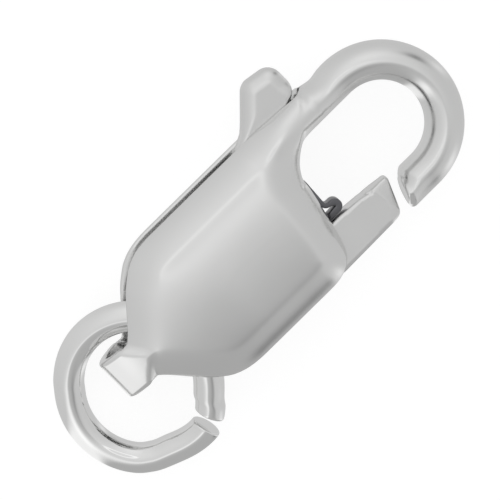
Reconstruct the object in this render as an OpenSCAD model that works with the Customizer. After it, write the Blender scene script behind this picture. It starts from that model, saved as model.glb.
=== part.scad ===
// Lobster clasp with an open jump ring, in millimetres.
// The clasp lies on its back cheek: +X runs from the ring to the hook, +Z points up from the surface.

/* [Body] */
// Length from the tail end to the nose edge
body_l = 8.25; // [7.9:0.05:8.7]
// Width of the body over its cheeks
body_w = 5.08; // [4.86:0.02:5.36]
// Thickness over both crests
body_t = 3.0; // [2.8:0.05:3.3]
// Thickness of the sheet
sheet_t = 0.3; // [0.25:0.01:0.35]
// Gap between the rims of the two cheeks
slot_w = 1.1; // [1.08:0.01:1.2]
// Width of the rolled flank along the sides
flank_w = 0.85; // [0.75:0.05:0.95]
// Width of the rolled flank along the nose
nose_flank_w = 1.05; // [0.9:0.05:1.2]
// How far each cheek's panel is crowned across the body
crown = 0.2; // [0.1:0.01:0.28]

/* [Tail] */
// Width of the strip that folds round the tail
tail_w = 1.4; // [1.3:0.05:1.6]
// Length of the strip's flat part, seen from above
tail_l = 1.05; // [0.95:0.05:1.2]
// Gap between the rims where the ring passes
tail_slot_w = 1.4; // [1.36:0.01:1.46]

/* [Hook] */
// Width of the hook's bar, seen from above
hook_bar = 1.2; // [1.1:0.01:1.3]
// Thickness of the hook's bar
hook_t = 1.7; // [1.5:0.05:1.9]
// Length of the eye from the nose edge to the hook's end
eye_l = 4.2; // [4:0.05:4.6]
// Width of the eye between the hook's two bars
eye_w = 2.66; // [2.5:0.02:2.8]
// How far the hook's middle lies to the gate's side of the middle line
hook_drop = 0.09; // [0:0.01:0.15]
// Radius of the fillet where the nose edge runs into the hook
fillet_r = 1.13; // [1:0.01:1.2]
// Length of the neck that stays open for the lug, past the nose edge
neck_l = 1.93; // [1.8:0.01:2.1]
// Length of the straight bar between the hook's arc and its tip, on the eye side
tip_l = 0.67; // [0.6:0.01:0.8]
// How far the slanted tip face reaches beyond that on the outer side
tip_slant = 0.5; // [0.35:0.01:0.6]

/* [Lever] */
// Thickness of the lever's plate
lever_t = 0.95; // [0.85:0.01:0.97]
// Width of the gate where it leaves the nose
gate_w = 1.41; // [1.3:0.01:1.5]
// Width of the gate at its end
gate_end_w = 1.17; // [1:0.01:1.25]
// How far the foot of the gate's slanted end face lies back from its top corner
gate_slant = 0.5; // [0.35:0.01:0.6]
// How far the gate's end lies in from the line of the body's side
gate_in = 0.09; // [0.05:0.01:0.15]
// Gap between the gate's top corner and the hook's tip
mouth_gap = 0.28; // [0.24:0.01:0.36]
// Length of the bevel at the gate's end
bevel_l = 0.5; // [0.3:0.05:0.6]
// Depth of that bevel on each face
bevel_d = 0.22; // [0.1:0.01:0.3]
// How far the thumb lug stands out from the body
lug_h = 1.18; // [1:0.02:1.4]
// Length of the lug's top
lug_l = 0.44; // [0.3:0.02:0.6]
// Gap between the lug's side and the end of its slot
lug_gap = 0.165; // [0.12:0.005:0.25]
// Gap between the lever and the wall of the neck
neck_gap = 0.42; // [0.38:0.02:0.5]
// Radius of the pin
pin_r = 0.45; // [0.4:0.01:0.5]
// Radius of the lever's hub
hub_r = 0.85; // [0.8:0.01:0.95]
// Clearance of the small fits
clear = 0.04; // [0.03:0.01:0.06]

/* [Spring] */
// Thickness of the leaf
leaf_t = 0.15; // [0.13:0.01:0.17]
// Width of the leaf
leaf_w = 0.6; // [0.5:0.05:0.7]
// Radius of the leaf's free bend, at the middle of its thickness
leaf_r = 0.155; // [0.13:0.005:0.17]
// How far that bend stands out past the nose edge
leaf_out = 0.38; // [0.3:0.01:0.44]
// How far the leg along the nose stands out past it
leg_out = 0.1; // [0.06:0.01:0.12]

/* [Jump ring] */
// Diameter of the ring's wire
wire_d = 0.94; // [0.88:0.01:0.96]
// Radius of the ring at the middle of its wire
ring_r = 2.18; // [2.1:0.01:2.24]
// How far in from the tail end the ring's centre lies
ring_in = 0.46; // [0.36:0.02:0.5]
// How far the ring's centre lies to the gate's side of the middle line
ring_side = 0.74; // [0.66:0.01:0.8]
// Slope of the ring, from its far side on the surface up into the body, in degrees
ring_slope = 16.5; // [15:0.5:18]
// How far the wire's ends have been bent out of the round
ring_spring = 0.12; // [0:0.01:0.16]
// How far the sprung end is lifted out of the ring's plane
ring_lift = 0.11; // [0:0.01:0.2]
// Place of the opening round the ring, in degrees from the clasp's length
opening_at = 70; // [66:1:72]
// Gap between the ring's ends, in degrees
opening = 8; // [4:1:10]

/* [Hidden] */
$fn = 48;

half_w = body_w / 2;
half_t = body_t / 2;
half_slot = slot_w / 2;
half_bar = hook_bar / 2;

// The hook's arc and the straight bars that run out of it
hook_x = body_l + eye_l - eye_w / 2;
hook_y = -hook_drop;
eye_r = eye_w / 2;
hook_r = eye_r + hook_bar;
eye_top = hook_y + eye_r;
hook_top = hook_y + hook_r;
tip_in = [hook_x - tip_l, hook_y - eye_r];
tip_out = [hook_x - tip_l - tip_slant, hook_y - hook_r];

// The pin, and the line where the two cheeks close to form the neck
pivot = [0.763 * body_l, -0.34 * half_w];
neck_out = [body_l + neck_l, hook_top];
neck_in = [body_l + 0.18 * fillet_r, eye_top - 0.65 * fillet_r];
wall_w = 0.12;

// Where the slot narrows behind the ring, where each crest starts and ends, and where the body's
// lug side starts to ease in and the hook's plain bar starts
pinch_from = 0.26 * body_l;
pinch_l = 0.15 * body_l;
crest_from = 0.565 * body_l;
crest_to = 0.86 * body_l;
side_from = 0.9 * body_l;
side_l = 0.3 * body_l;
bar_from = 1.124 * body_l;

// Forms of the curves: the crest's rise from the tail, and a flank on the body and on the bar
crest_power = 2.4;
flank_power = 1.4;
bar_power = 2;

// Radius of the small corners of the lever's plate
corner_r = 0.12;

// How the wire has been bent out of the round: degrees round the ring, share of ring_spring
BENT = [
    [-74, 1], [-58, -0.1], [-45, -1], [0, -0.3], [80, 0.6], [130, 0], [150, -0.15],
    [215, 0.9], [235, 0.6], [254, 0], [282, 1], [294, 1.1]
];
BENT_CURVE = smooth_rows(BENT, 6);

// The wire runs round from its fixed end, past the far side, to the end that has sprung open
ring_steps = 60;
wire_sides = 16;
ring_from = opening / 2 - opening_at;
ring_to = 360 - opening / 2 - opening_at;
RING_TURN = [for (i = [0 : ring_steps]) ring_from + (ring_to - ring_from) * i / ring_steps];

// Place of the ring's centre, with its far side resting on the surface
ring_centre = [ring_in, -ring_side, wire_d / 2 + wire_r(180) * sin(ring_slope) - half_t];

// Middle of the base of the box round the whole model
x_low = ring_in + cos(ring_slope) * min([for (a = RING_TURN) cos(a) * wire_r(a)]) - wire_d / 2;
x_high = hook_x + hook_r;
y_low = -ring_side + min([for (a = RING_TURN) sin(a) * wire_r(a)]) - wire_d / 2;
y_high = half_w + lug_h;
base = [(x_low + x_high) / 2, (y_low + y_high) / 2, -half_t];

// Outline of the flared body: share of body_l, share of half the body's width
FLARE = [
    [0.151, 0.345], [0.182, 0.455], [0.219, 0.595], [0.254, 0.720], [0.291, 0.823],
    [0.327, 0.905], [0.376, 0.968], [0.437, 0.997], [0.526, 1.000], [0.625, 1.000], [0.704, 1.000]
];

// Sections round the nose: share of body_l at the lug's side, then share of body_l and share of
// half the body's width at the gate's side, then how much of the nose's wider flank it has
NOSE = [
    [0.743, 0.783, -1.000, 0.0], [0.768, 0.837, -0.992, 0.1], [0.791, 0.881, -0.952, 0.3],
    [0.812, 0.917, -0.872, 0.6], [0.834, 0.940, -0.760, 0.9], [0.855, 0.956, -0.600, 1.0],
    [0.874, 0.971, -0.400, 1.0], [0.891, 0.986, -0.180, 1.0]
];

// Sections of the tip: share of its length, shares of the bar's width that its outer and inner
// corners have rounded away, then how far the edges of the end face are rounded off
TIP = [
    [0.35, 0, 0, 0], [0.7, 0, 0.01, 0], [0.88, 0.01, 0.04, 0], [0.96, 0.05, 0.09, 0], [1, 0.12, 0.16, 0.06]
];

// Where the points lie across each section, from the lug's side to the gate's
ACROSS = [0, 0.03, 0.08, 0.15, 0.24, 0.36, 0.5, 0.64, 0.76, 0.85, 0.92, 0.97, 1];

function mix(a, b, t) = a + (b - a) * t;
function clamp01(t) = min(1, max(0, t));
function ease(t) = let (c = clamp01(t)) c * c * (3 - 2 * c);
function unit(v) = v / norm(v);
function left_of(v) = [-v.y, v.x];
function flip(z) = z == 0 ? 0 : -z;

// A smooth curve through rows of numbers, with the given steps between each row and the next
function smooth_row(p, q, r, s, t) =
    q + 0.5 * t * (r - p + t * (2 * p - 5 * q + 4 * r - s + t * (3 * (q - r) + s - p)));
function smooth_rows(rows, steps) =
    let (n = len(rows))
    [for (i = [0 : n - 2], k = [0 : steps - 1])
        smooth_row(rows[max(i - 1, 0)], rows[i], rows[i + 1], rows[min(i + 2, n - 1)], k / steps)];

// A corner of an outline, rounded to radius r
function corner(before, at, after, r, steps) =
    let (u = unit(before - at), w = unit(after - at),
         half = acos(u * w) / 2,
         centre = at + unit(u + w) * r / sin(half),
         from = at + u * r / tan(half) - centre,
         turn = cross(u, w) > 0 ? -(180 - 2 * half) : 180 - 2 * half)
    [for (i = [0 : steps])
        let (a = turn * i / steps)
        centre + [from.x * cos(a) - from.y * sin(a), from.x * sin(a) + from.y * cos(a)]];

// An outline whose rows are the x, y and radius of each corner
function outline(rows) =
    let (n = len(rows))
    [for (i = [0 : n - 1])
        let (a = rows[(i + n - 1) % n], b = rows[i], c = rows[(i + 1) % n])
        each corner([a[0], a[1]], [b[0], b[1]], [c[0], c[1]], b[2], 5)];

// The lug's side of the body runs straight, then eases in to the hook's bar
function lug_side(x) = [x, mix(half_w, hook_top, ease((x - side_from) / side_l))];

// A section is the outline's two points, the two flanks' widths, the bar's share and the tip's rounding
function section(a, b, wa, wb, bar, tip = 0) = [a.x, a.y, b.x, b.y, wa, wb, bar, tip];

function tail_sections() =
    [for (a = [0 : 15 : 75])
        let (x = tail_l * (1 - cos(a)))
        section([x, tail_w / 2], [x, -tail_w / 2], flank_w, flank_w, 0)];
function flare_keys() = concat(
    [section([tail_l, tail_w / 2], [tail_l, -tail_w / 2], flank_w, flank_w, 0)],
    [for (r = FLARE)
        section([r[0] * body_l, r[1] * half_w], [r[0] * body_l, -r[1] * half_w], flank_w, flank_w, 0)]);
function nose_keys() =
    [for (r = NOSE)
        section(lug_side(r[0] * body_l), [r[1] * body_l, r[2] * half_w],
                flank_w, mix(flank_w, nose_flank_w, r[3]), 0)];
function fillet_keys() =
    let (centre = [body_l + fillet_r, eye_top - fillet_r])
    [for (i = [0 : 6])
        let (a = 180 - 15 * i, share = i / 6)
        section(lug_side(mix(side_from, bar_from, share)), centre + fillet_r * [cos(a), sin(a)],
                mix(flank_w, half_bar, ease(share)), mix(nose_flank_w, half_bar, ease(share)), ease(share))];
function bar_sections() =
    [for (i = [1 : 3])
        section(lug_side(mix(bar_from, hook_x, i / 4)),
                [mix(body_l + fillet_r, hook_x, i / 4), eye_top], half_bar, half_bar, 1)];
function arc_sections() =
    [for (a = [90 : -11.25 : -90])
        let (out = [cos(a), sin(a)])
        section([hook_x, hook_y] + hook_r * out, [hook_x, hook_y] + eye_r * out, half_bar, half_bar, 1)];
function tip_sections() =
    [for (r = TIP)
        let (a = mix([hook_x, tip_out.y], tip_out, r[0]), b = mix([hook_x, tip_in.y], tip_in, r[0]))
        section(mix(a, b, r[1]), mix(b, a, r[2]), half_bar, half_bar, 1, r[3])];

BODY_KEYS = concat(flare_keys(), nose_keys(), fillet_keys(), [bar_sections()[0]]);
SECTIONS = concat(
    tail_sections(), smooth_rows(BODY_KEYS, 2), bar_sections(), arc_sections(), tip_sections());
EDGE_A = [for (s = SECTIONS) [s[0], s[1]]];
EDGE_B = [for (s = SECTIONS) [s[2], s[3]]];
COUNT = len(SECTIONS);
HOLLOW_COUNT = COUNT - len(arc_sections()) - len(tip_sections());

// Distance from a point to the nearest piece of an edge
function to_segment(p, a, b) =
    let (d = b - a, t = clamp01((p - a) * d / (d * d)))
    norm(p - a - d * t);
function to_edge(p, edge) = min([for (i = [0 : len(edge) - 2]) to_segment(p, edge[i], edge[i + 1])]);

// 1 where the body is hollow, 0 where the neck and the hook are solid
function hollow(p) =
    let (beyond = (p - neck_in) * -left_of(unit(neck_out - neck_in)))
    clamp01(-min(beyond, p.y - neck_in.y) / wall_w);

// Half the gap between the rims: wide where the ring passes, then the plain slot
function half_gap(x) = mix(tail_slot_w / 2, half_slot, ease((x - pinch_from) / pinch_l));

// Height along the middle line, for the outer surface or for one inset by the sheet
function crest(x, inset) =
    let (t = clamp01((x - inset) / (crest_from - inset)),
         dome = (half_t - inset) * pow(1 - pow(1 - t, crest_power), 1 / crest_power))
    mix(dome, hook_t / 2 - inset, ease((x - crest_to) / (hook_x - crest_to)));

// Rise of a flank at a share of its width: a bent edge on the body, round on the bar
function roll(share, bar) = sqrt(1 - pow(1 - clamp01(share), mix(flank_power, bar_power, bar)));

// How far a place has turned from the flat tail strip to the rolled form
function rolled(p) = ease((p.x - tail_l * (1.1 - 1.1 * abs(p.y) / tail_w)) / (0.45 * tail_l));

// Height of the cheek's outer surface, or of its inner one with the sheet as inset
function height(p, s, rim, inset) =
    let (a = to_edge(p, EDGE_A), b = to_edge(p, EDGE_B),
         top = crest(p.x, inset) - crown * pow(p.y / half_w, 2) * (1 - s[6]),
         side_a = roll((a - inset) / (s[4] - inset), s[6]),
         side_b = roll((b - inset) / (s[5] - inset), s[6]))
    mix(top, rim + (top - rim) * side_a * side_b, rolled(p));

// Points across a section's outer surface
function outer_points(i) =
    [for (v = ACROSS)
        let (s = SECTIONS[i],
             p = mix(EDGE_A[i], EDGE_B[i], v),
             q = mix(EDGE_A[i], EDGE_B[i], mix(v, 0.5, s[7])),
             open = i < HOLLOW_COUNT ? hollow(p) : 0,
             z = height(p, s, half_gap(p.x) * open, 0) * (1 - s[7]))
        [q.x, q.y, max(z, 0)]];

// Points across a section's inner surface, one sheet's thickness inside the outline
function along(edge, i) = unit(edge[min(i + 1, COUNT - 1)] - edge[max(i - 1, 0)]);
function inner_points(i) =
    let (s = SECTIONS[i],
         back = [sheet_t * max(0, 1 - EDGE_A[i].x / (2 * tail_l)), 0],
         a = EDGE_A[i] + back - sheet_t * rolled(EDGE_A[i]) * left_of(along(EDGE_A, i)),
         b = EDGE_B[i] + back + sheet_t * rolled(EDGE_B[i]) * left_of(along(EDGE_B, i)))
    [for (v = ACROSS)
        let (p = mix(a, b, v),
             at_rim = v == 0 ? hollow(EDGE_A[i]) : v == 1 ? hollow(EDGE_B[i]) : 1,
             z = height(p, s, half_gap(p.x), sheet_t) * hollow(p) * at_rim)
        [p.x, p.y, max(z, 0)]];

// Two triangles between four points, left out where all four lie on the middle plane
function quad(pts, a, b, c, d, turned) =
    max(pts[a].z, pts[b].z, pts[c].z, pts[d].z) == 0 && min(pts[a].z, pts[b].z, pts[c].z, pts[d].z) == 0 ? []
    : turned ? [[c, b, a], [d, c, a]]
    : [[a, b, c], [a, c, d]];

module body() {
    m = len(ACROSS);
    outer = [for (i = [0 : COUNT - 1]) each outer_points(i)];
    inner = [for (i = [0 : HOLLOW_COUNT - 1]) each inner_points(i)];
    front = concat(outer, inner);
    pts = concat(front, [for (p = front) [p.x, p.y, flip(p.z)]]);
    in0 = len(outer);
    back0 = len(front);
    faces = [for (f0 = [0, back0])
        let (turned = f0 > 0)
        each concat(
            [for (i = [0 : COUNT - 2], j = [0 : m - 2])
                let (k = f0 + i * m + j)
                each quad(pts, k, k + m, k + m + 1, k + 1, turned)],
            [for (i = [0 : HOLLOW_COUNT - 2], j = [0 : m - 2])
                let (k = f0 + in0 + i * m + j)
                each quad(pts, k, k + m, k + m + 1, k + 1, !turned)],
            [for (i = [0 : HOLLOW_COUNT - 2])
                let (k = f0 + i * m, q = f0 + in0 + i * m)
                each quad(pts, k + m, k, q, q + m, turned)],
            [for (i = [0 : HOLLOW_COUNT - 2])
                let (k = f0 + i * m + m - 1, q = f0 + in0 + i * m + m - 1)
                each quad(pts, k, k + m, q + m, q, turned)])];
    end = (COUNT - 1) * m;
    cap = concat([for (j = [m - 1 : -1 : 0]) end + j], [for (j = [1 : m - 2]) back0 + end + j]);
    color("silver") polyhedron(pts, concat(faces, [cap]), convexity = 8);
}

// The gate's end face slants beside the hook's tip face
gate_top = -half_w + gate_w;
gate_low = -half_w + gate_in;
gate_end = [tip_in.x - mouth_gap, gate_low + gate_end_w];
gate_foot = gate_end - [gate_slant, gate_end_w];
end_dir = unit(gate_end - gate_foot);
lug_r = lever_t / 2;
lug_x = neck_out.x - lug_gap - lug_r;
lug_y = half_w + lug_h - lug_r;
flank_dir = unit(neck_out - neck_in);
flank_at = neck_in + neck_gap * left_of(flank_dir);
flank_x = lug_x + 0.2 * lug_r;

// The rows run round the hub's underside, the gate, the notch, the neck's side and the lug's foot
module lever_plate() {
    notch_x = pivot.x + hub_r;
    rows = [
        [pivot.x - hub_r, pivot.y - 0.6 * hub_r, 0.5 * hub_r],
        [pivot.x, pivot.y - 1.05 * hub_r, 0.5 * hub_r],
        [notch_x, -half_w + gate_in / 2, 0.4 * hub_r],
        [gate_foot.x, gate_foot.y, 0.24 * gate_end_w],
        [gate_end.x, gate_end.y, 0.1 * gate_end_w],
        [body_l, gate_top, gate_w],
        [notch_x, gate_top, corner_r],
        [notch_x, leaf_end.y + leaf_t + clear, corner_r],
        [flank_at.x, flank_at.y, corner_r],
        [flank_x, flank_at.y + (flank_x - flank_at.x) * flank_dir.y / flank_dir.x, corner_r],
        [lug_x - lug_l - 0.86 * lug_h, half_w + 0.2 * lug_h, 0.3 * lug_h],
        [lug_x - 5 * lug_l, 0.92 * half_w, lug_l],
        [pivot.x - hub_r, pivot.y + 0.9 * hub_r, 0.8 * hub_r]
    ];
    linear_extrude(height = lever_t, center = true) polygon(outline(rows));
}

// The lug's top is round at the front, and its back runs down to the body in a slant
module lug() {
    top = [0, -0.06 * lug_h];
    back = [-lug_l - 0.93 * lug_h, -0.97 * lug_h];
    front = [0, -0.31 * lug_h];
    hull()
    for (at = [top, [-lug_l, 0], back, front])
        translate([lug_x + at.x, lug_y + at.y, 0]) sphere(lug_r, $fn = 24);
}

module end_bevels() {
    translate([gate_end.x, gate_end.y, 0])
    rotate([0, 0, atan2(end_dir.y, end_dir.x) - 90])
    for (side = [0, 1])
        mirror([0, 0, side])
        translate([-bevel_l, -2 * gate_w, lever_t / 2])
        rotate([0, atan2(bevel_d, bevel_l), 0])
        cube([2 * bevel_l, 3 * gate_w, lever_t]);
}

module lever() {
    color("gainsboro")
    difference() {
        union() {
            lever_plate();
            lug();
        }
        end_bevels();
        translate([pivot.x, pivot.y, -lever_t]) cylinder(h = 2 * lever_t, r = pin_r + clear);
    }
}

module pivot_pin() {
    half_l = crest(pivot.x, sheet_t) - crown * pow((pivot.y - pin_r) / half_w, 2) - clear;
    color("gray")
    translate([pivot.x, pivot.y, -half_l])
    cylinder(h = 2 * half_l, r = pin_r);
}

// The leaf's middle line: along the gate, round its free bend, in under the nose edge, and along
// that edge up to the neck
leaf_y = gate_top + leaf_t / 2 + clear;
leaf_x = body_l + leaf_out - leaf_r - leaf_t / 2;
leaf_leg = [0.986 * body_l + leg_out - leaf_t / 2, leaf_y + 2 * leaf_r];
leaf_end = [body_l - clear, neck_in.y - wall_w - leaf_t / 2 - clear];
LEAF = concat(
    [[pivot.x + hub_r + corner_r + clear, leaf_y]],
    [for (a = [-90 : 15 : 90]) [leaf_x + leaf_r * cos(a), leaf_y + leaf_r + leaf_r * sin(a)]],
    [for (a = [270 : -15 : 165])
        [leaf_leg.x + leaf_r + leaf_r * cos(a), leaf_leg.y + leaf_r + leaf_r * sin(a)]],
    [leaf_end]);

module spring() {
    n = len(LEAF);
    side = [for (i = [0 : n - 1]) left_of(unit(LEAF[min(i + 1, n - 1)] - LEAF[max(i - 1, 0)])) * leaf_t / 2];
    color("dimgray")
    linear_extrude(height = leaf_w, center = true)
    polygon(concat(
        [for (i = [0 : n - 1]) LEAF[i] - side[i]],
        [for (i = [n - 1 : -1 : 0]) LEAF[i] + side[i]]));
}

// How far the wire has sprung at a place round the ring: 0 up to the far side, 1 at the sprung end
function sprung(a) = pow(max(0, a - 180) / (ring_to - 180), 2);
function wire_r(a) = ring_r + ring_spring * lookup(a, BENT_CURVE);
function wire_point(a, side) =
    let (r = wire_r(a) + wire_d / 2 * cos(360 * side / wire_sides))
    [r * cos(a), r * sin(a), ring_lift * sprung(a) + wire_d / 2 * sin(360 * side / wire_sides)];

module jump_ring() {
    m = wire_sides;
    pts = [for (a = RING_TURN, side = [0 : m - 1]) wire_point(a, side)];
    tube = [for (i = [0 : ring_steps - 1], k = [0 : m - 1])
        let (q = i * m + k, r = i * m + (k + 1) % m)
        each [[q, r, r + m], [q, r + m, q + m]]];
    ends = [[for (k = [m - 1 : -1 : 0]) k], [for (k = [0 : m - 1]) ring_steps * m + k]];
    color("lightgray")
    translate(ring_centre)
    rotate([0, -ring_slope, 0])
    polyhedron(pts, concat(tube, ends), convexity = 6);
}

translate(-base) body();
translate(-base) lever();
translate(-base) pivot_pin();
translate(-base) spring();
translate(-base) jump_ring();
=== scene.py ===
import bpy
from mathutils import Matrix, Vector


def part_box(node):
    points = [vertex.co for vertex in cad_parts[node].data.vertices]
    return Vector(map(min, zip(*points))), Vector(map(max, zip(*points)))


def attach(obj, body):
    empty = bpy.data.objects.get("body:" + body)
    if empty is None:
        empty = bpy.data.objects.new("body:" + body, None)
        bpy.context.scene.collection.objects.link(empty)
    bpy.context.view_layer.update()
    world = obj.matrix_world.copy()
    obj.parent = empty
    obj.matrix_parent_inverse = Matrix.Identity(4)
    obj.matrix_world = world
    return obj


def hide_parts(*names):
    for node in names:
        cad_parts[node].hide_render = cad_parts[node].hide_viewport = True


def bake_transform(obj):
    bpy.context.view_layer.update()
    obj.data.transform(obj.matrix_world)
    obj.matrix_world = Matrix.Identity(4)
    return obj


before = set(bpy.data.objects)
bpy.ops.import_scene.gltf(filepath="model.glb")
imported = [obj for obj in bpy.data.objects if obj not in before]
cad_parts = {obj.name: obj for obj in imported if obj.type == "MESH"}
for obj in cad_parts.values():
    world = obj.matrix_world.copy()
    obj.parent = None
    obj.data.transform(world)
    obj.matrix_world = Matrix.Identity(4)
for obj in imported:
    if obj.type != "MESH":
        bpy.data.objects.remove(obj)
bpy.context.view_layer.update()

import math

import bmesh
import bpy
import numpy as np
from mathutils import Matrix, Vector
from mathutils.geometry import delaunay_2d_cdt

# All sizes are in millimetres. The clasp's own frame has x along its length from the tail end,
# y towards the thumb lug and z up, with its middle plane at z = 0.
MM = 0.001

# Guards: against a division by zero, for lengths that are nothing, for points that lie on the middle plane
# or on an outline, and for points that are one, the last in metres
NO_ZERO = 1e-12
NO_LENGTH = 1e-9
ON_IT = 1e-6
SAME_POINT = 1e-8

# Body
BODY_L = 8.25
BODY_W = 5.08
BODY_T = 3.0
SHEET_T = 0.3
SLOT_W = 1.1
FLANK_W = 0.85
NOSE_FLANK_W = 1.05
CROWN = 0.2
TAIL_W = 1.4
TAIL_L = 1.05
TAIL_SLOT_W = 1.4

# Hook
HOOK_BAR = 1.2
HOOK_T = 1.7
EYE_L = 4.2
EYE_W = 2.66
HOOK_DROP = 0.09
FILLET_R = 1.13
NECK_L = 1.93
TIP_L = 0.67
TIP_SLANT = 0.5
TIP_OUTER_CUT = 0.12
TIP_INNER_CUT = 0.16
TIP_ROUND = 0.09

# Shares of the tip's length at which its outer and its inner corner start to round away
TIP_OUTER_FROM = 0.75
TIP_INNER_FROM = 0.7

# Lever
LEVER_T = 0.95
GATE_W = 1.41
GATE_END_W = 1.17
GATE_SLANT = 0.5
GATE_IN = 0.09
MOUTH_GAP = 0.28
LUG_H = 1.18
LUG_L = 0.44
LUG_GAP = 0.165
NECK_GAP = 0.42
PIN_R = 0.45
HUB_R = 0.85
CLEAR = 0.04
CORNER_R = 0.12

# Spring
LEAF_T = 0.15
LEAF_W = 0.6
LEAF_R = 0.155
LEAF_OUT = 0.38
LEG_OUT = 0.1
LEAF_EDGE = 0.03
FOLD_GAP = 0.01
LEG_UP = 165

# Jump ring
WIRE_D = 0.94
RING_R = 2.18
RING_IN = 0.46
RING_SIDE = 0.74
RING_SLOPE = math.radians(16.5)
RING_SPRING = 0.12
RING_LIFT = 0.11
OPENING_AT = 70
OPENING = 8
RING_FAR = 180
WIRE_EDGE = 0.05

# Radius of the rounded edges of the sheet, outside and inside, and the share of the sheet's edge face
# that each round takes at most
EDGE_R = 0.13
INNER_EDGE_R = 0.07
OUTER_FACE_SHARE = 0.6
INNER_FACE_SHARE = 0.3

# How soft the crests are where the flanks meet the top, in shares of a flank's width
LUG_CREST_SOFT = 0.3
GATE_CREST_SOFT = 0.14

HALF_W = BODY_W / 2
HALF_T = BODY_T / 2
HALF_BAR = HOOK_BAR / 2
HOOK_X = BODY_L + EYE_L - EYE_W / 2
HOOK_Y = -HOOK_DROP
EYE_R = EYE_W / 2
HOOK_R = EYE_R + HOOK_BAR
EYE_TOP = HOOK_Y + EYE_R
HOOK_TOP = HOOK_Y + HOOK_R
TIP_IN = np.array([HOOK_X - TIP_L, HOOK_Y - EYE_R])
TIP_OUT = np.array([HOOK_X - TIP_L - TIP_SLANT, HOOK_Y - HOOK_R])
PIVOT = np.array([0.763 * BODY_L, -0.34 * HALF_W])
NECK_OUT = np.array([BODY_L + NECK_L, HOOK_TOP])
NECK_IN = np.array([BODY_L + 0.18 * FILLET_R, EYE_TOP - 0.65 * FILLET_R])

# Wall between the neck's inner corner and the spring's end, and the run over which the hollow closes
WALL_W = 0.12
SADDLE_W = 0.2

# Where the flat tail strip starts to turn, in shares of its length, and the run of that turn
TURN_FROM = 1.1
TURN_L = 0.45 * TAIL_L

# Along the body: where the rims draw together, the level stretch of the crest, where the lug's side eases
# in to the hook, and where the straight bar starts on that side
PINCH_FROM = 0.26 * BODY_L
PINCH_L = 0.15 * BODY_L
CREST_FROM = 0.565 * BODY_L
CREST_TO = 0.86 * BODY_L
SIDE_FROM = 0.9 * BODY_L
SIDE_L = 0.3 * BODY_L
BAR_FROM = 1.124 * BODY_L

# The share of the straight bar at which its own rows start
BAR_FIRST = 0.25

# Powers of the curves of the crest, of a flank and of the round bar
CREST_POWER = 2.4
FLANK_POWER = 1.4
BAR_POWER = 2.0

# The shallow dip in the hook's back, just past the lug: place, length and depth
DIP_X = 10.5
DIP_L = 0.28
DIP_D = 0.07

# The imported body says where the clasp's frame lies
body_low, body_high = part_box("body")
ORIGIN = np.array([body_low[0], body_high[1] - HALF_W * MM, (body_low[2] + body_high[2]) / 2])

# Outline of the flared body: share of its length, share of half its width
FLARE = [
    [0.151, 0.345], [0.182, 0.455], [0.219, 0.595], [0.254, 0.720], [0.291, 0.823],
    [0.327, 0.905], [0.376, 0.968], [0.437, 0.997], [0.526, 1.000], [0.625, 1.000], [0.704, 1.000],
]

# Sections round the nose: share of the length at the lug's side, then share of the length and of
# half the width at the gate's side, then how much of the nose's wider flank it has
NOSE = [
    [0.743, 0.783, -1.000, 0.0], [0.768, 0.837, -0.992, 0.1], [0.791, 0.881, -0.952, 0.3],
    [0.812, 0.917, -0.872, 0.6], [0.834, 0.940, -0.760, 0.9], [0.855, 0.956, -0.600, 1.0],
    [0.874, 0.971, -0.400, 1.0], [0.891, 0.986, -0.180, 1.0],
]

# How the wire has been bent out of the round: degrees round the ring, share of RING_SPRING
BENT = [
    [-74, 1], [-58, -0.1], [-45, -1], [0, -0.3], [80, 0.6], [130, 0], [150, -0.15],
    [215, 0.9], [235, 0.6], [254, 0], [282, 1], [294, 1.1],
]

# How finely the surfaces are divided
KEY_STEPS = 8
TAIL_STEPS = 24
FILLET_STEPS = 6
BAR_STEPS = 14
ARC_STEPS = 72
TIP_STEPS = 26
DENSE = 181
OUTER_COUNT = 66
INNER_COUNT = 30
ROUND_STEPS = 4
CORNER_STEPS = 10
LUG_SIDES = 96
HOLE_SIDES = 64
FOLD_STEPS = 25
LEG_STEPS = 15
LEAF_EDGE_STEPS = 4
BENT_STEPS = 20
RING_STEPS = 260
WIRE_SIDES = 48
WIRE_END_STEPS = 5


def mix(a, b, t):
    return a + (b - a) * t


def ease(t):
    c = np.clip(t, 0, 1)
    return c * c * (3 - 2 * c)


def unit(v):
    return v / np.maximum(np.linalg.norm(v, axis=-1, keepdims=True), NO_ZERO)


def left_of(v):
    return np.stack([-v[..., 1], v[..., 0]], axis=-1)


def full_turn(count):
    """Even angles round a full turn."""
    return np.linspace(0, 2 * math.pi, count + 1)[:-1]


def circle(radius, count):
    """Points round a circle about zero."""
    turn = full_turn(count)
    return radius * np.stack([np.cos(turn), np.sin(turn)], axis=-1)


def smooth_rows(rows, steps):
    """A smooth curve through rows of numbers, with the given steps between each row and the next."""
    rows = np.array(rows, float)
    rows = np.vstack([rows[:1], rows, rows[-1:]])
    t = np.arange(steps)[:, None] / steps
    parts = []
    for p, q, r, s in zip(rows, rows[1:], rows[2:], rows[3:]):
        parts.append(q + 0.5 * t * (r - p + t * (2 * p - 5 * q + 4 * r - s + t * (3 * (q - r) + s - p))))
    return np.vstack(parts)


def to_edge(points, edge):
    """Distance from each point to the nearest piece of an edge, for a batch of points at a time."""
    batch = 2000
    start = edge[:-1]
    run = np.diff(edge, axis=0)
    length2 = np.maximum((run * run).sum(-1), NO_ZERO)
    flat = points.reshape(-1, 2)
    gaps = []
    for part in np.array_split(flat, max(1, len(flat) // batch)):
        q = part[:, None, :] - start
        t = np.clip((q * run).sum(-1) / length2, 0, 1)
        gaps.append(np.linalg.norm(q - t[..., None] * run, axis=-1).min(axis=1))
    return np.concatenate(gaps).reshape(points.shape[:-1])


def reach(line):
    """How far along a line each of its points lies."""
    return np.concatenate([[0], np.cumsum(np.linalg.norm(np.diff(line, axis=0), axis=1))])


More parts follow.
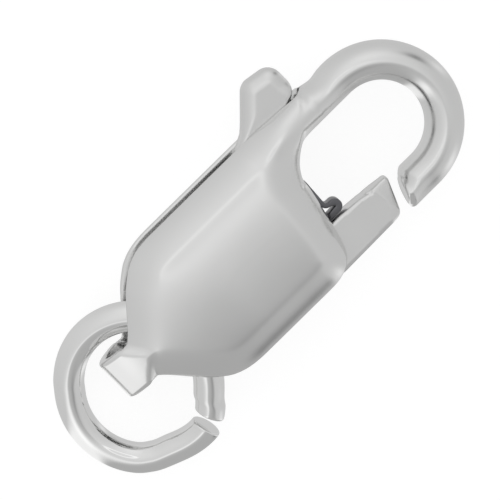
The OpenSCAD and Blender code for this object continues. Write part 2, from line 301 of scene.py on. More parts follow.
def at_lengths(line, lengths):
    """Points at the given lengths along a line."""
    far = reach(line)
    return np.stack([np.interp(lengths, far, line[:, k]) for k in range(line.shape[1])], axis=-1)


def to_row(points):
    """From the clasp's own frame in millimetres to the row's frame in metres."""
    return ORIGIN + np.asarray(points) * MM


def make_object(name, points, faces, node):
    """A smooth closed mesh from points in millimetres, which replaces a CAD node."""
    mesh = bpy.data.meshes.new(name)
    mesh.from_pydata(to_row(points).tolist(), [], [list(map(int, f)) for f in faces])
    bm = bmesh.new()
    bm.from_mesh(mesh)
    bmesh.ops.remove_doubles(bm, verts=bm.verts, dist=SAME_POINT)
    loose = [v for v in bm.verts if not v.link_faces]
    bmesh.ops.delete(bm, geom=loose, context="VERTS")
    bmesh.ops.recalc_face_normals(bm, faces=bm.faces)
    bm.to_mesh(mesh)
    bm.free()
    mesh.polygons.foreach_set("use_smooth", [True] * len(mesh.polygons))
    obj = bpy.data.objects.new(name, mesh)
    bpy.context.scene.collection.objects.link(obj)
    weighted = obj.modifiers.new("even_shading", "WEIGHTED_NORMAL")
    weighted.keep_sharp = True
    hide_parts(node)
    return obj


# Body: sections across the sheet, from the tail round to the hook's tip. A row holds one section: x and y
# on the lug's side, x and y on the gate's or the eye's side, the widths of its two flanks, how far it is a
# round bar, and how far the edges of the tip's end face are drawn in.

def lug_side(x):
    """The lug's side of the body runs straight, then eases in to the hook's bar."""
    dip = DIP_D * math.exp(-((x - DIP_X) / DIP_L) ** 2)
    return [x, mix(HALF_W, HOOK_TOP, float(ease((x - SIDE_FROM) / SIDE_L))) - dip]


def tail_rows():
    rows = []
    for a in np.linspace(0, math.pi / 2, TAIL_STEPS + 1)[:-1]:
        x = TAIL_L * (1 - math.cos(a))
        rows.append([x, TAIL_W / 2, x, -TAIL_W / 2, FLANK_W, FLANK_W, 0, 0])
    return rows


def flare_rows():
    rows = [[TAIL_L, TAIL_W / 2, TAIL_L, -TAIL_W / 2, FLANK_W, FLANK_W, 0, 0]]
    for along, wide in FLARE:
        x = along * BODY_L
        rows.append([x, wide * HALF_W, x, -wide * HALF_W, FLANK_W, FLANK_W, 0, 0])
    return rows


def nose_rows():
    rows = []
    for at_lug, at_gate, side, share in NOSE:
        gate_flank = mix(FLANK_W, NOSE_FLANK_W, share)
        rows.append([*lug_side(at_lug * BODY_L), at_gate * BODY_L, side * HALF_W,
                     FLANK_W, gate_flank, 0, 0])
    return rows


def fillet_rows():
    rows = []
    for share in np.arange(FILLET_STEPS + 1) / FILLET_STEPS:
        a = math.radians(180 - 90 * share)
        bar = float(ease(share))
        inside = [BODY_L + FILLET_R + FILLET_R * math.cos(a), EYE_TOP - FILLET_R + FILLET_R * math.sin(a)]
        rows.append([*lug_side(mix(SIDE_FROM, BAR_FROM, share)), *inside,
                     mix(FLANK_W, HALF_BAR, bar), mix(NOSE_FLANK_W, HALF_BAR, bar), bar, 0])
    return rows


def bar_rows():
    rows = []
    for share in np.linspace(BAR_FIRST, 1, BAR_STEPS + 1)[:-1]:
        inside_x = mix(BODY_L + FILLET_R, HOOK_X, share)
        rows.append([*lug_side(mix(BAR_FROM, HOOK_X, share)), inside_x, EYE_TOP,
                     HALF_BAR, HALF_BAR, 1, 0])
    return rows


def arc_rows():
    rows = []
    for a in np.linspace(math.pi / 2, -math.pi / 2, ARC_STEPS + 1):
        c, s = math.cos(a), math.sin(a)
        rows.append([HOOK_X + HOOK_R * c, HOOK_Y + HOOK_R * s, HOOK_X + EYE_R * c, HOOK_Y + EYE_R * s,
                     HALF_BAR, HALF_BAR, 1, 0])
    return rows


def tip_rows():
    """The straight end of the hook, whose corners and end face are rounded off."""
    rows = []
    for t in 1 - (1 - np.linspace(0, 1, TIP_STEPS + 1)[1:]) ** 2:
        outer = mix(np.array([HOOK_X, TIP_OUT[1]]), TIP_OUT, t)
        inner = mix(np.array([HOOK_X, TIP_IN[1]]), TIP_IN, t)
        outer_cut = TIP_OUTER_CUT * max(0, (t - TIP_OUTER_FROM) / (1 - TIP_OUTER_FROM)) ** 3
        inner_cut = TIP_INNER_CUT * max(0, (t - TIP_INNER_FROM) / (1 - TIP_INNER_FROM)) ** 2
        left = (1 - t) * (TIP_L + TIP_SLANT / 2)
        back = max(0, 1 - left / TIP_ROUND)
        pull = TIP_ROUND * (1 - math.sqrt(1 - back * back)) / HALF_BAR
        rows.append([*mix(outer, inner, outer_cut), *mix(inner, outer, inner_cut),
                     HALF_BAR, HALF_BAR, 1, pull])
    return rows


def hollow(p):
    """1 where the body is hollow, 0 where the neck and the hook are solid."""
    line = unit(NECK_OUT - NECK_IN)
    beyond = (p - NECK_IN) @ -left_of(line)
    return ease(-np.minimum(beyond, p[..., 1] - NECK_IN[1]) / SADDLE_W)


def half_gap(x):
    """Half the gap between the rims: wide where the ring passes, then the plain slot."""
    return mix(TAIL_SLOT_W / 2, SLOT_W / 2, ease((x - PINCH_FROM) / PINCH_L))


def crest(x, inset):
    """Height along the middle line, for the outer surface or for one inset by the sheet."""
    t = np.clip((x - inset) / (CREST_FROM - inset), 0, 1)
    dome = (HALF_T - inset) * (1 - (1 - t) ** CREST_POWER) ** (1 / CREST_POWER)
    return mix(dome, HOOK_T / 2 - inset, ease((x - CREST_TO) / (HOOK_X - CREST_TO)))


def roll(share, bar, soft):
    """Rise of a flank at a share of its width: bent and soft at its crest on the body, round on the bar."""
    left = 1 - np.maximum(share, 0)
    left = np.minimum(1, (left + np.sqrt(left ** 2 + (soft * (1 - bar)) ** 2)) / 2)
    return np.sqrt(1 - left ** mix(FLANK_POWER, BAR_POWER, bar))


def rolled(p):
    """How far a place has turned from the flat tail strip to the rolled form."""
    start = TURN_FROM * TAIL_L * (1 - np.abs(p[..., 1]) / TAIL_W)
    return ease((p[..., 0] - start) / TURN_L)


def height(p, rows, edge_a, edge_b, rim, inset):
    """Height of the cheek's outer surface, or of its inner one with the sheet as inset."""
    bar = rows[:, None, 6]
    top = crest(p[..., 0], inset) - CROWN * (p[..., 1] / HALF_W) ** 2 * (1 - bar)
    side_a = roll((to_edge(p, edge_a) - inset) / (rows[:, None, 4] - inset), bar, LUG_CREST_SOFT)
    side_b = roll((to_edge(p, edge_b) - inset) / (rows[:, None, 5] - inset), bar, GATE_CREST_SOFT)
    return mix(top, rim + (top - rim) * side_a * side_b, rolled(p))


def body_sections():
    """For each section: the front cheek's outer line, its inner line and how round its two rims are."""
    keys = flare_rows() + nose_rows() + fillet_rows() + [bar_rows()[0]]
    hollow_rows = np.vstack([tail_rows(), smooth_rows(keys, KEY_STEPS), bar_rows()])
    rows = np.vstack([hollow_rows, arc_rows(), tip_rows()])
    edge_a, edge_b = rows[:, 0:2], rows[:, 2:4]
    is_open = (np.arange(len(rows)) < len(hollow_rows))[:, None]
    v = (1 - np.cos(np.pi * np.linspace(0, 1, DENSE)))[None, :, None] / 2
    tip = rows[:, None, 7:8]

    p = mix(edge_a[:, None], edge_b[:, None], v)
    q = mix(edge_a[:, None], edge_b[:, None], mix(v, 0.5, tip))
    rim = half_gap(p[..., 0]) * hollow(p) * is_open
    z = np.maximum(0, height(p, rows, edge_a, edge_b, rim, 0) * (1 - tip[..., 0]))
    outer = np.concatenate([q, z[..., None]], axis=-1)

    step_a = np.gradient(edge_a, axis=0)
    step_b = np.gradient(edge_b, axis=0)
    fold = SHEET_T * np.maximum(0, 1 - edge_a[:, 0] / (2 * TAIL_L))
    back = np.stack([fold, np.zeros(len(rows))], axis=-1)
    in_a = edge_a + back - SHEET_T * rolled(edge_a)[:, None] * left_of(unit(step_a))
    in_b = edge_b + back + SHEET_T * rolled(edge_b)[:, None] * left_of(unit(step_b))
    p = mix(in_a[:, None], in_b[:, None], v)
    z = height(p, rows, edge_a, edge_b, half_gap(p[..., 0]), SHEET_T) * hollow(p) * is_open
    z[:, 0] *= hollow(edge_a)
    z[:, -1] *= hollow(edge_b)
    inner = np.concatenate([p, np.maximum(0, z)[..., None]], axis=-1)
    return outer, inner, hollow(edge_a) * is_open[:, 0], hollow(edge_b) * is_open[:, 0]


def rounded(start, at, end):
    """The points of a small round that takes the place of a corner."""
    t = np.linspace(0, 1, ROUND_STEPS + 1)[1:-1, None]
    return (1 - t) ** 2 * start + 2 * t * (1 - t) * at + t * t * end


def body_loop(outer, inner, share_a, share_b):
    """One closed loop: over the outside from rim a to rim b, then back along the inside."""
    out_l, in_l = reach(outer)[-1], reach(inner)[-1]
    r_a, r_b = EDGE_R * share_a, EDGE_R * share_b
    q_a, q_b = INNER_EDGE_R * share_a, INNER_EDGE_R * share_b
    over = at_lengths(outer, np.linspace(r_a, max(r_a, out_l - r_b), OUTER_COUNT))
    under = at_lengths(inner, np.linspace(q_a, max(q_a, in_l - q_b), INNER_COUNT))[::-1]
    face_a = inner[0] - outer[0]
    face_b = inner[-1] - outer[-1]
    wide_a = max(np.linalg.norm(face_a), NO_LENGTH)
    wide_b = max(np.linalg.norm(face_b), NO_LENGTH)
    out_a = outer[0] + face_a * min(OUTER_FACE_SHARE, r_a / wide_a)
    in_a = inner[0] - face_a * min(INNER_FACE_SHARE, q_a / wide_a)
    out_b = outer[-1] + face_b * min(OUTER_FACE_SHARE, r_b / wide_b)
    in_b = inner[-1] - face_b * min(INNER_FACE_SHARE, q_b / wide_b)
    return np.vstack([
        out_a[None], rounded(out_a, outer[0], over[0]), over,
        rounded(over[-1], outer[-1], out_b), out_b[None],
        in_b[None], rounded(in_b, inner[-1], under[0]), under,
        rounded(under[-1], inner[0], in_a), in_a[None],
    ])


def make_body():
    loops = np.array([body_loop(*section) for section in zip(*body_sections())])
    outside = OUTER_COUNT + 2 * ROUND_STEPS
    count, size = loops.shape[:2]
    front = loops.reshape(-1, 3)
    points = np.vstack([front, front * [1, 1, -1]])
    flat = np.abs(points[:, 2]) < ON_IT
    back0 = len(front)
    faces = []
    for first, turned in ((0, False), (back0, True)):
        for i in range(count - 1):
            for j in range(size):
                a = first + i * size + j
                b = first + i * size + (j + 1) % size
                quad = [a, a + size, b + size, b]
                if not all(flat[quad]):
                    faces.append(quad[::-1] if turned else quad)
    last = (count - 1) * size
    for j in range(outside - 1):
        faces.append([last + j, last + j + 1, back0 + last + j + 1, back0 + last + j])
    return make_object("clasp_body", points, faces, "body")


# Lever: a plate with rounded edges, drawn as one outline

# The triangulation's own number for keeping what lies inside the outlines, and how near the face's points
# may come to each other before they count as one
CDT_INSIDE = 1
FACE_NEAR = 1e-7


def corner(before, at, after, r, steps):
    """A corner of an outline, rounded to radius r."""
    u = unit(before - at)
    w = unit(after - at)
    half = math.acos(float(u @ w)) / 2
    centre = at + unit(u + w) * r / math.sin(half)
    first = at + u * r / math.tan(half) - centre
    turn = math.pi - 2 * half
    if u[0] * w[1] - u[1] * w[0] > 0:
        turn = -turn
    a = turn * np.linspace(0, 1, steps + 1)
    return np.stack([centre[0] + first[0] * np.cos(a) - first[1] * np.sin(a),
                     centre[1] + first[0] * np.sin(a) + first[1] * np.cos(a)], axis=-1)


def rounded_outline(rows, steps):
    """A closed outline whose rows are the x, y and radius of each corner."""
    at = np.array([row[:2] for row in rows], float)
    parts = []
    for i, row in enumerate(rows):
        parts.append(corner(at[i - 1], at[i], at[(i + 1) % len(at)], row[2], steps))
    return np.vstack(parts)


def evenly(outline, spacing):
    """The same closed outline with points at even distances."""
    ring = np.vstack([outline, outline[:1]])
    far = reach(ring)
    keep = np.concatenate([[True], np.diff(far) > NO_LENGTH])
    at = np.linspace(0, far[-1], int(far[-1] / spacing) + 1)[:-1]
    return np.stack([np.interp(at, far[keep], ring[keep, k]) for k in (0, 1)], axis=-1)


def side_turn(o, a, b):
    return (a[0] - o[0]) * (b[1] - o[1]) - (a[1] - o[1]) * (b[0] - o[0])


def half_hull(points):
    chain = []
    for p in points:
        while len(chain) > 1 and side_turn(chain[-2], chain[-1], p) <= 0:
            chain.pop()
        chain.append(p)
    return chain[:-1]


def hull(points):
    """The outline of a rubber band round points."""
    ordered = sorted(map(tuple, points))
    return np.array(half_hull(ordered) + half_hull(ordered[::-1]))


def open_edges(triangles):
    """The directed edges that only one triangle has."""
    edges = {(f[k], f[k - 2]) for f in triangles for k in range(3)}
    return [(a, b) for a, b in edges if (b, a) not in edges]


def united(first, second):
    """The outline round two closed outlines that overlap."""
    n, m = len(first), len(second)
    points = [Vector(p) for p in np.vstack([first, second])]
    out = delaunay_2d_cdt(points, [], [list(range(n)), list(range(n, n + m))], CDT_INSIDE, ON_IT)
    follows = dict(open_edges(out[2]))
    start = next(iter(follows))
    chain = [start]
    while follows[chain[-1]] != start:
        chain.append(follows[chain[-1]])
    return np.array([[out[0][i][0], out[0][i][1]] for i in chain])


def within(points, outline):
    """Which points lie inside a closed outline."""
    inside = np.zeros(len(points), bool)
    for (ax, ay), (bx, by) in zip(outline, np.roll(outline, -1, axis=0)):
        crosses = (ay > points[:, 1]) != (by > points[:, 1])
        if ay != by:
            inside ^= crosses & (points[:, 0] < ax + (points[:, 1] - ay) * (bx - ax) / (by - ay))
    return inside


LUG_R = LEVER_T / 2
GATE_TOP = -HALF_W + GATE_W
GATE_LOW = -HALF_W + GATE_IN
GATE_END = np.array([TIP_IN[0] - MOUTH_GAP, GATE_LOW + GATE_END_W])
GATE_FOOT = GATE_END - np.array([GATE_SLANT, GATE_END_W])
LUG_AT = np.array([NECK_OUT[0] - LUG_GAP - LUG_R, HALF_W + LUG_H - LUG_R])
FLANK_DIR = unit(NECK_OUT - NECK_IN)
FLANK_AT = NECK_IN + NECK_GAP * left_of(FLANK_DIR)
LEAF_Y = GATE_TOP + LEAF_T / 2 + CLEAR
LEAF_X = BODY_L + LEAF_OUT - LEAF_R - LEAF_T / 2
LEAF_LEG = np.array([0.986 * BODY_L + LEG_OUT - LEAF_T / 2, LEAF_Y + 2 * LEAF_R])
LEAF_END = np.array([BODY_L - CLEAR, NECK_IN[1] - WALL_W - LEAF_T / 2 - CLEAR])


def plate_outline():
    notch_x = PIVOT[0] + HUB_R
    flank_x = LUG_AT[0] + 0.2 * LUG_R
    flank_y = FLANK_AT[1] + (flank_x - FLANK_AT[0]) * FLANK_DIR[1] / FLANK_DIR[0]
    return rounded_outline([
        [PIVOT[0] - HUB_R, PIVOT[1] - 0.6 * HUB_R, 0.5 * HUB_R],
        [PIVOT[0], PIVOT[1] - 1.05 * HUB_R, 0.5 * HUB_R],
        [notch_x, -HALF_W + GATE_IN / 2, 0.4 * HUB_R],
        [*GATE_FOOT, 0.24 * GATE_END_W],
        [*GATE_END, 0.1 * GATE_END_W],
        [BODY_L, GATE_TOP, GATE_W],
        [notch_x, GATE_TOP, CORNER_R],
        [notch_x, LEAF_END[1] + LEAF_T + CLEAR, CORNER_R],
        [*FLANK_AT, CORNER_R],
        [flank_x, flank_y, CORNER_R],
        [LUG_AT[0] - LUG_L - 0.86 * LUG_H, HALF_W + 0.2 * LUG_H, 0.3 * LUG_H],
        [LUG_AT[0] - 5 * LUG_L, 0.92 * HALF_W, LUG_L],
        [PIVOT[0] - HUB_R, PIVOT[1] + 0.9 * HUB_R, 0.8 * HUB_R],
    ], CORNER_STEPS)


def lug_outline():
    """The lug's top is round at the front, and its back runs down to the body in a slant."""
    places = LUG_AT + np.array([
        [0, -0.06 * LUG_H], [-LUG_L, 0], [-LUG_L - 0.93 * LUG_H, -0.97 * LUG_H], [0, -0.31 * LUG_H]])
    return hull((places[:, None] + circle(LUG_R, LUG_SIDES)).reshape(-1, 2))


# Edges of the plate: the plain ones, the width and depth of the lug's broad round, where that sets in and
# over what run, and the power of both curves
PLAIN_EDGE = 0.1
LUG_EDGE_W = 0.42
LUG_EDGE_D = 0.33
LUG_EDGE_FROM = HALF_W - 0.1
LUG_EDGE_RUN = 0.5
EDGE_POWER = 1.8

# Border of the gate's flat panel, and how steeply the face falls away beyond it
PANEL_BORDER = smooth_rows([
    [8.8, -0.95], [8.93, -1.084], [9.22, -1.2], [9.5, -1.318], [9.6, -1.5], [9.62, -1.755], [9.54, -2.08],
    [9.36, -2.324], [9.2, -2.6]], KEY_STEPS)
PANEL_BACK = np.array([[9.2, -6], [-2, -6], [-2, 2], [8.8, 2]])
PANEL_FALL = 0.44
PANEL_DEPTH = 0.24
PANEL_SOFT = 0.03

# A short crease along the upper border of that panel
CREASE = np.array([[9.0, -1.125], [9.2, -1.2], [9.47, -1.3]])
CREASE_W = 0.03
CREASE_D = 0.06

# Points of the lever's face: their spacing, the rows inside the outline and beside the border and the
# crease, then how far the plain grid keeps off each of these and off the hole
LEVER_SPACING = 0.035
GRID_X = 1.6 * LEVER_SPACING
GRID_Y = 1.4 * LEVER_SPACING
CREASE_SPACING = 0.015
OUTLINE_ROWS = (0.006, 0.02, 0.04, 0.065, 0.1)
BORDER_ROWS = (-0.05, -0.02, 0, 0.02, 0.05)
CREASE_ROWS = (-0.045, -0.03, -0.015, 0, 0.015, 0.03, 0.045)
OFF_OUTLINE = 0.12
OFF_BORDER = 0.07
OFF_CREASE = 0.06
OFF_HOLE = 0.03

# The share of its distance that a row must keep from the whole outline, so that rows don't cross at a corner
ROW_KEEPS = 0.97


def panel_fall(p):
    """How far the gate's face has fallen beyond its flat panel."""
    beyond = to_edge(p, PANEL_BORDER)
    beyond[within(p, np.vstack([PANEL_BORDER, PANEL_BACK])) | (p[:, 1] > 0)] = 0
    fall = PANEL_FALL * (np.sqrt(beyond ** 2 + PANEL_SOFT ** 2) - PANEL_SOFT)
    return PANEL_DEPTH * np.tanh(fall / PANEL_DEPTH)


def lever_height(p, gap):
    """Height of the lever's face at a distance from its outline."""
    lug = ease((p[:, 1] - LUG_EDGE_FROM) / LUG_EDGE_RUN)
    wide = mix(PLAIN_EDGE, LUG_EDGE_W, lug)
    deep = mix(PLAIN_EDGE, LUG_EDGE_D, lug)
    share = np.clip(gap / wide, 0, 1)
    edge_fall = deep * (1 - np.sqrt(1 - (1 - share) ** EDGE_POWER))
    crease = CREASE_D * np.exp(-(to_edge(p, CREASE) / CREASE_W) ** 2)
    return LEVER_T / 2 - edge_fall - panel_fall(p) - crease


def beside(line, gaps):
    """Lines of points beside a line, at the given distances."""
    side = left_of(unit(np.gradient(line, axis=0)))
    return [line + gap * side for gap in gaps]


def lever_points(outline):
    """Places for the face's points: rows inside the outline, along the panel's border, then a grid."""
    closed = np.vstack([outline, outline[:1]])
    parts = beside(PANEL_BORDER, BORDER_ROWS)
    fine_crease = at_lengths(CREASE, np.arange(0, reach(CREASE)[-1], CREASE_SPACING))
    parts += beside(fine_crease, CREASE_ROWS)
    low, high = outline.min(axis=0), outline.max(axis=0)
    xs = np.arange(low[0], high[0], GRID_X)
    ys = np.arange(low[1], high[1], GRID_Y)
    grid = np.stack(np.meshgrid(xs, ys), axis=-1)
    grid[1::2, :, 0] += GRID_X / 2
    grid = grid.reshape(-1, 2)
    grid = grid[to_edge(grid, PANEL_BORDER) > OFF_BORDER]
    parts.append(grid[to_edge(grid, CREASE) > OFF_CREASE])
    points = np.vstack(parts)
    points = points[(to_edge(points, closed) > OFF_OUTLINE) & within(points, outline)]
    inward = left_of(unit(np.roll(outline, -1, axis=0) - np.roll(outline, 1, axis=0)))
    rows = []
    for gap in OUTLINE_ROWS:
        ring = outline + gap * inward
        rows.append(ring[to_edge(ring, closed) > ROW_KEEPS * gap])
    points = np.vstack([*rows, points])
    return points[np.linalg.norm(points - PIVOT, axis=1) > PIN_R + CLEAR + OFF_HOLE]


def make_lever():
    outline = evenly(united(plate_outline(), lug_outline()), LEVER_SPACING)
    hole = PIVOT + circle(PIN_R + CLEAR, HOLE_SIDES)
    closed = np.vstack([outline, outline[:1]])
    points = np.vstack([outline, hole, lever_points(outline)])
    n, m = len(outline), len(hole)
    edges = [(i, (i + 1) % n) for i in range(n)] + [(n + i, n + (i + 1) % m) for i in range(m)]
    out = delaunay_2d_cdt([Vector(p) for p in points], edges, [list(range(n))], CDT_INSIDE, FACE_NEAR)
    flat = np.array([[v[0], v[1]] for v in out[0]])
    faces = np.array([list(f) for f in out[2]])
    middle = flat[faces].mean(axis=1)
    faces = faces[np.linalg.norm(middle - PIVOT, axis=1) > PIN_R + CLEAR]
    gap = to_edge(flat, closed)
    gap[gap < ON_IT] = 0
    front = np.column_stack([flat, lever_height(flat, gap)])
    first = len(front)
    points3 = np.vstack([front, front * [1, 1, -1]])
    all_faces = [list(f) for f in faces] + [[a + first, c + first, b + first] for a, b, c in faces]
    for a, b in sorted(open_edges(faces.tolist())):
        all_faces.append([b, a, a + first, b + first])
    return make_object("clasp_lever", points3, all_faces, "lever")


# Spring and ring: profiles swept along a line

def sweep(name, rings, node):
    """A closed tube through rings of points, with its ends closed."""
    count, sides = rings.shape[:2]
    faces = []
    for i in range(count - 1):
        for k in range(sides):
            a, b = i * sides + k, i * sides + (k + 1) % sides
            faces.append([a, b, b + sides, a + sides])
    faces.append(list(range(sides))[::-1])
    faces.append([(count - 1) * sides + k for k in range(sides)])
    return make_object(name, rings.reshape(-1, 3), faces, node)


def arc(centre, radius, degrees):
    a = np.radians(degrees)
    return centre + radius * np.stack([np.cos(a), np.sin(a)], axis=-1)


def make_spring():
    """The leaf: along the gate, round its free bend, in under the nose, and up to the neck."""
    line = np.vstack([
        [[PIVOT[0] + HUB_R + CORNER_R + CLEAR, LEAF_Y]],
        arc(np.array([LEAF_X, LEAF_Y + LEAF_R]), LEAF_R, np.linspace(-90, 90, FOLD_STEPS)),
        arc(LEAF_LEG + np.array([LEAF_R, LEAF_R]), LEAF_R, np.linspace(270, LEG_UP, LEG_STEPS)),
        [LEAF_END],
    ])
    across = left_of(unit(np.gradient(line, axis=0)))
    corners = [(-1, -1), (1, -1), (1, 1), (-1, 1)]
    profile = rounded_outline(
        [[x * LEAF_T / 2, y * LEAF_W / 2, LEAF_EDGE] for x, y in corners], LEAF_EDGE_STEPS)
    offset = np.repeat(profile[None, :, :1], len(line), axis=0)
    folded = offset[1:FOLD_STEPS + 1]
    folded[folded > 0] *= (LEAF_R - FOLD_GAP) / (LEAF_T / 2)
    rings = np.zeros((len(line), len(profile), 3))
    rings[..., :2] = line[:, None] + across[:, None] * offset
    rings[..., 2] = profile[None, :, 1]
    return sweep("spring_leaf", rings, "spring")


def wire_radius(degrees):
    curve = smooth_rows(BENT, BENT_STEPS)
    return RING_R + RING_SPRING * np.interp(degrees, curve[:, 0], curve[:, 1])


def make_ring():
    """The wire, from its fixed end round to the end that has sprung open, with a small round at each end."""
    first = OPENING / 2 - OPENING_AT
    last = 360 - OPENING / 2 - OPENING_AT
    ends = np.linspace(0, math.pi / 2, WIRE_END_STEPS + 1)
    trims = np.degrees(WIRE_EDGE * (1 - np.cos(ends)) / RING_R)
    degrees = np.linspace(first, last, RING_STEPS + 1)[2:-2]
    degrees = np.concatenate([first + trims, degrees, (last - trims)[::-1]])
    inset = np.zeros(len(degrees))
    end_inset = WIRE_EDGE * (1 - np.sin(ends))
    inset[:len(ends)] = end_inset
    inset[-len(ends):] = end_inset[::-1]
    sprung = (np.maximum(0, degrees - RING_FAR) / (last - RING_FAR)) ** 2
    around = full_turn(WIRE_SIDES)
    wire = (WIRE_D / 2 - inset)[:, None]
    a = np.radians(degrees)[:, None]
    out = wire_radius(degrees)[:, None] + wire * np.cos(around)
    x, y = out * np.cos(a), out * np.sin(a)
    z = RING_LIFT * sprung[:, None] + wire * np.sin(around)
    c, s = math.cos(RING_SLOPE), math.sin(RING_SLOPE)
    rings = np.stack([x * c - z * s + RING_IN, y - RING_SIDE, x * s + z * c], axis=-1)
    rings[..., 2] += WIRE_D / 2 + wire_radius(RING_FAR) * s - HALF_T
    return sweep("open_ring", rings, "jump_ring")


# Materials

class Nodes:
    """A small helper that adds linked nodes to a tree."""

    def __init__(self, tree):
        self.tree = tree
        tree.nodes.clear()

    def add(self, kind, values=(), **settings):
        node = self.tree.nodes.new(kind)
        for key, value in settings.items():
            setattr(node, key, value)
        for key, value in dict(values).items():
            if isinstance(value, bpy.types.NodeSocket):
                self.tree.links.new(value, node.inputs[key])
            else:
                node.inputs[key].default_value = value
        return node

    def math(self, operation, a, b=0.0):
        return self.add("ShaderNodeMath", {0: a, 1: b}, operation=operation).outputs[0]

    def vector(self, operation, a, b=(0, 0, 0)):
        return self.add("ShaderNodeVectorMath", {0: a, 1: b}, operation=operation)

    def ramp(self, value, stops):
        node = self.add("ShaderNodeValToRGB", {0: value})
        elements = node.color_ramp.elements
        while len(elements) < len(stops):
            elements.new(0.5)
        for element, (position, level) in zip(elements, stops):
            element.position = position
            element.color = (level, level, level, 1)
        return node.outputs[0]

    def noise(self, where, scale, rough=0.5):
        node = self.add("ShaderNodeTexNoise", {
            "Vector": where, "Scale": scale, "Detail": NOISE_DETAIL, "Roughness": rough})
        return node.outputs["Fac"]


# Scales of the textures, for each millimetre, and how rough and how detailed the noise is
NOISE_DETAIL = 3.0
BLOTCH_SCALE = 0.7
WAVE_SCALE = 3.2
WAVE_ROUGH = 0.6
PIT_SCALE = 1.1

# Hair scratches: the direction in radians and the scale of each set, how they are stretched, and the narrow
# band of the noise that makes a hair
HAIR_SETS = [(0.5, 1.6), (-0.9, 1.1)]
HAIR_STRETCH = (0.6, 14, 14)
HAIR_BAND = [(0.485, 0), (0.5, 1), (0.515, 0)]

# Wall of a pit, by the distance from its middle, and how much darker the darkest blotches are
PIT_WALL = [(0.02, 0), (0.05, 1)]
DARK_SHARE = 0.96


def metal(name, tint, rough, rough_swing, waves, hairs, pits):
    """Tumbled metal: soft waves, hair scratches and a few pits, each given as a height in millimetres."""
    material = bpy.data.materials.new(name)
    material.use_nodes = True
    n = Nodes(material.node_tree)
    where = n.add("ShaderNodeTexCoord").outputs["Object"]
    in_mm = n.add("ShaderNodeMapping", {"Vector": where, "Scale": [1 / MM] * 3}).outputs[0]
    blotch = n.noise(in_mm, BLOTCH_SCALE)
    wave = n.noise(in_mm, WAVE_SCALE, WAVE_ROUGH)
    level = n.math("MULTIPLY", wave, waves)
    for turn, scale in HAIR_SETS:
        stretched = n.add("ShaderNodeMapping", {
            "Vector": in_mm, "Scale": HAIR_STRETCH, "Rotation": (0, 0, turn)}).outputs[0]
        hair = n.ramp(n.noise(stretched, scale), HAIR_BAND)
        level = n.math("ADD", level, n.math("MULTIPLY", hair, -hairs))
    cells = n.add("ShaderNodeTexVoronoi", {"Vector": in_mm, "Scale": PIT_SCALE}).outputs["Distance"]
    level = n.math("ADD", level, n.math("MULTIPLY", n.ramp(cells, PIT_WALL), pits))
    bump = n.add("ShaderNodeBump", {"Height": level, "Strength": 1.0, "Distance": MM}).outputs[0]
    swing = n.math("MULTIPLY", n.math("SUBTRACT", blotch, 0.5), rough_swing)
    dark = [c * DARK_SHARE for c in tint]
    shade = n.add("ShaderNodeMix", {"Factor": blotch, "A": (*dark, 1), "B": (*tint, 1)},
                  data_type="RGBA").outputs[2]
    shader = n.add("ShaderNodeBsdfPrincipled", {
        "Base Color": shade, "Metallic": 1.0, "Roughness": n.math("ADD", swing, rough), "Normal": bump})
    n.add("ShaderNodeOutputMaterial", {"Surface": shader.outputs[0]})
    return material


def paint(obj, material):
    obj.data.materials.clear()
    obj.data.materials.append(material)


# Camera, light and floor

IMAGE_TURN = math.radians(44.5)
VIEW_TILT = math.radians(10.2)
FIELD_W = 15.0
CAMERA_AWAY = 300.0
SENSOR_W = 36
AIM = (5.66, -0.0516, 0)

# What the camera sees from and to, half the floor's width, all in metres, and the floor's grey and glow
CLIP_FROM = 0.01
CLIP_TO = 5
FLOOR_HALF = 0.6
FLOOR_GREY = 0.3
FLOOR_GLOW = 0.83

# Directions: to the camera, along the clasp, and the camera's right and up. They are fixed in space.
TOWARDS = Vector((0, math.sin(VIEW_TILT), math.cos(VIEW_TILT)))
ALONG = Vector((1, 0, 0))
OVER = TOWARDS.cross(ALONG)
RIGHT = ALONG * math.cos(IMAGE_TURN) - OVER * math.sin(IMAGE_TURN)
UP = ALONG * math.sin(IMAGE_TURN) + OVER * math.cos(IMAGE_TURN)


def make_camera():
    """A long lens that looks down on the clasp, turned as in the photograph."""
    data = bpy.data.cameras.new("camera")
    data.sensor_width = SENSOR_W
    data.lens = SENSOR_W * CAMERA_AWAY / FIELD_W
    data.clip_start = CLIP_FROM
    data.clip_end = CLIP_TO
    camera = bpy.data.objects.new("camera", data)
    turned = Matrix((RIGHT, UP, TOWARDS)).transposed().to_4x4()
    turned.translation = Vector(to_row(AIM)) + TOWARDS * CAMERA_AWAY * MM
    camera.matrix_world = turned
    bpy.context.scene.collection.objects.link(camera)
    bpy.context.scene.camera = camera


# The soft studio. Each light or dark card is placed by the lean of the surface that mirrors it to the
# front, in shares of a full lean: to the right, upwards, then its width and its strength.
BASE_LIGHT = 0.61
CARDS = [
    (-0.05, 0.0, 0.28, 0.14),
    (0.0, 0.42, 0.26, 0.2),
    (-0.5, 0.3, 0.5, 0.07),
    (0.24, -0.25, 0.12, -0.14),
    (-0.2, -0.4, 0.12, 0.15),
    (0.38, 0.54, 0.1, -0.42),
    (0.56, -0.59, 0.08, -0.25),
    (0.76, -0.42, 0.13, 0.3),
    (0.66, 0.56, 0.1, 0.2),
]

# Cards with straight edges: the corner's place to the right and upwards, the directions of its two
# edges in degrees, how soft they are, and the strength
CORNER_CARDS = [
    (-0.08, -0.3, 203, 237, 0.06, 0.36),
    (0.1, -0.1, 236, 318, 0.05, -0.16),
]

# The ring light round the front: lean, strength
RING_LIGHT = [(0, 0), (0.07, 0), (0.085, 0.25), (0.105, 0.25), (0.12, 0)]


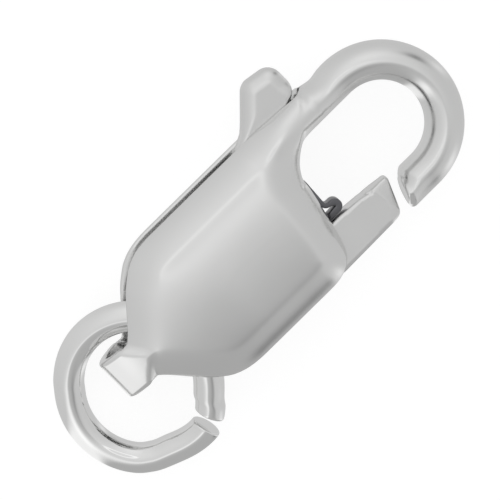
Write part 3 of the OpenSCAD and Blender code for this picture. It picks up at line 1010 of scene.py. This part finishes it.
def make_studio():
    world = bpy.data.worlds.new("studio")
    world.use_nodes = True
    n = Nodes(world.node_tree)
    way = n.add("ShaderNodeTexCoord").outputs["Generated"]
    halfway = n.vector("NORMALIZE", n.vector("ADD", way, TOWARDS).outputs[0]).outputs[0]
    across = n.vector("DOT_PRODUCT", halfway, RIGHT).outputs["Value"]
    upward = n.vector("DOT_PRODUCT", halfway, UP).outputs["Value"]
    lean = n.add("ShaderNodeCombineXYZ", {0: across, 1: upward}).outputs[0]
    level = n.ramp(n.vector("LENGTH", lean).outputs["Value"], RING_LIGHT)
    level = n.math("ADD", level, BASE_LIGHT)
    for right, up, width, strength in CARDS:
        off = n.vector("DISTANCE", lean, (right, up, 0)).outputs["Value"]
        squared = n.math("POWER", n.math("DIVIDE", off, width), 2.0)
        falloff = n.math("EXPONENT", n.math("MULTIPLY", squared, -1.0))
        level = n.math("ADD", level, n.math("MULTIPLY", falloff, strength))
    for right, up, first, last, soft, strength in CORNER_CARDS:
        a, b = math.radians(first), math.radians(last)
        share = strength
        for side in ((-math.sin(a), math.cos(a), 0), (math.sin(b), -math.cos(b), 0)):
            edge = side[0] * right + side[1] * up
            within_edge = n.add("ShaderNodeMapRange", {
                "Value": n.vector("DOT_PRODUCT", lean, side).outputs["Value"],
                "From Min": edge - soft, "From Max": edge + soft}, interpolation_type="SMOOTHSTEP")
            share = n.math("MULTIPLY", within_edge.outputs[0], share)
        level = n.math("ADD", level, share)
    background = n.add("ShaderNodeBackground", {"Color": level, "Strength": 1.0})
    n.add("ShaderNodeOutputWorld", {"Surface": background.outputs[0]})
    bpy.context.scene.world = world


def make_floor():
    """A pale floor that glows, for the photograph's white ground. The silver doesn't mirror it."""
    corners = [(-1, -1), (1, -1), (1, 1), (-1, 1)]
    mesh = bpy.data.meshes.new("floor")
    mesh.from_pydata([(x * FLOOR_HALF, y * FLOOR_HALF, 0) for x, y in corners], [], [(0, 1, 2, 3)])
    floor = bpy.data.objects.new("floor", mesh)
    bpy.context.scene.collection.objects.link(floor)
    floor.visible_glossy = False
    material = bpy.data.materials.new("pale_floor")
    material.use_nodes = True
    n = Nodes(material.node_tree)
    shader = n.add("ShaderNodeBsdfPrincipled", {
        "Base Color": (FLOOR_GREY, FLOOR_GREY, FLOOR_GREY, 1), "Roughness": 0.9, "Specular IOR Level": 0.0,
        "Emission Color": (1, 1, 1, 1), "Emission Strength": FLOOR_GLOW})
    n.add("ShaderNodeOutputMaterial", {"Surface": shader.outputs[0]})
    paint(floor, material)


make_camera()
make_studio()
make_floor()

body = make_body()
lever = make_lever()
spring = make_spring()
ring = make_ring()
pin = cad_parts["pivot_pin"]
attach(body, "clasp")
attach(lever, "lever")
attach(ring, "clasp")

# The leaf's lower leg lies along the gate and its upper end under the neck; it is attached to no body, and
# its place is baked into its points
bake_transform(spring)

paint(body, metal("silver_body", (0.86, 0.86, 0.855), rough=0.2, rough_swing=0.06,
                  waves=0.0008, hairs=0.00005, pits=0.002))
paint(lever, metal("silver_lever", (0.83, 0.83, 0.825), rough=0.25, rough_swing=0.06,
                   waves=0.0008, hairs=0.0001, pits=0.002))
paint(pin, metal("silver_pin", (0.8, 0.8, 0.79), rough=0.35, rough_swing=0.1,
                 waves=0.0008, hairs=0.0002, pits=0.001))
paint(ring, metal("silver_wire", (0.9, 0.9, 0.895), rough=0.06, rough_swing=0.03,
                  waves=0.0006, hairs=0.00003, pits=0.001))
paint(spring, metal("dark_steel", (0.16, 0.16, 0.17), rough=0.3, rough_swing=0.1,
                    waves=0.0005, hairs=0.0002, pits=0.001))

bpy.context.scene.view_settings.view_transform = "Standard"
